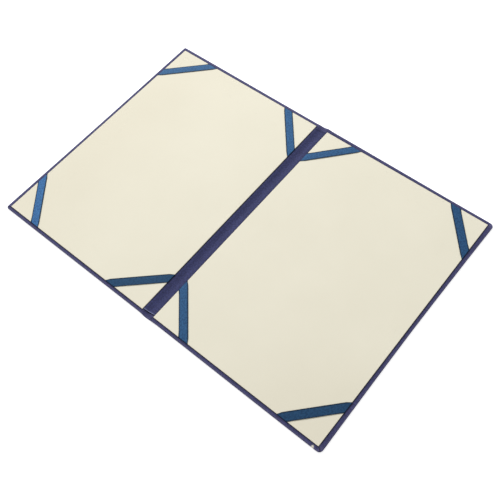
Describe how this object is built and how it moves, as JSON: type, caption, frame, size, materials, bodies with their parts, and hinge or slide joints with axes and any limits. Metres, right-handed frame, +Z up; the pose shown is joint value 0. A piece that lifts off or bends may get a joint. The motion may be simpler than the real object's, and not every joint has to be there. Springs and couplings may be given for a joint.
{
  "type": "diploma cover",
  "caption": "Cloth-covered certificate holder for A4 sheets, open flat, with cream liner panels and a satin ribbon across each corner.",
  "frame": {"origin": "middle of the underside of the open cover, on the floor", "axes": "+X across the open cover towards the back cover, +Y along the spine towards the head, +Z up out of the inside"},
  "size_m": [0.4542, 0.3138, 0.0031],
  "materials": {
    "bookcloth": "dark blue-violet woven bookcloth, matt",
    "strip_cloth": "dark blue-violet woven bookcloth, matt",
    "grey_board": "raw grey board, matt",
    "cream_liner": "smooth cream paper on thin card",
    "satin_ribbon": "teal-blue satin"
  },
  "bodies": {
    "back_cover": {"back_cover_cloth": "bookcloth", "back_board": "grey_board", "back_strip_edge": "strip_cloth", "back_liner": "cream_liner", "back_outer_head_ribbon": "satin_ribbon", "back_outer_tail_ribbon": "satin_ribbon", "back_spine_head_ribbon": "satin_ribbon", "back_spine_tail_ribbon": "satin_ribbon"},
    "spine": {"spine_cloth": "bookcloth", "spine_strip": "strip_cloth"},
    "front_cover": {"front_cover_cloth": "bookcloth", "front_board": "grey_board", "front_strip_edge": "strip_cloth", "front_liner": "cream_liner", "front_outer_head_ribbon": "satin_ribbon", "front_outer_tail_ribbon": "satin_ribbon", "front_spine_head_ribbon": "satin_ribbon", "front_spine_tail_ribbon": "satin_ribbon"}
  },
  "joints": [
    {"name": "back_hinge", "type": "hinge", "parent": "back_cover", "child": "spine", "pos_m": [0.004, 0, 0.00035], "axis": [0, 1, 0], "range_deg": [0, 90]},
    {"name": "front_hinge", "type": "hinge", "parent": "spine", "child": "front_cover", "pos_m": [-0.004, 0, 0.00035], "axis": [0, 1, 0], "range_deg": [0, 90]}
  ]
}
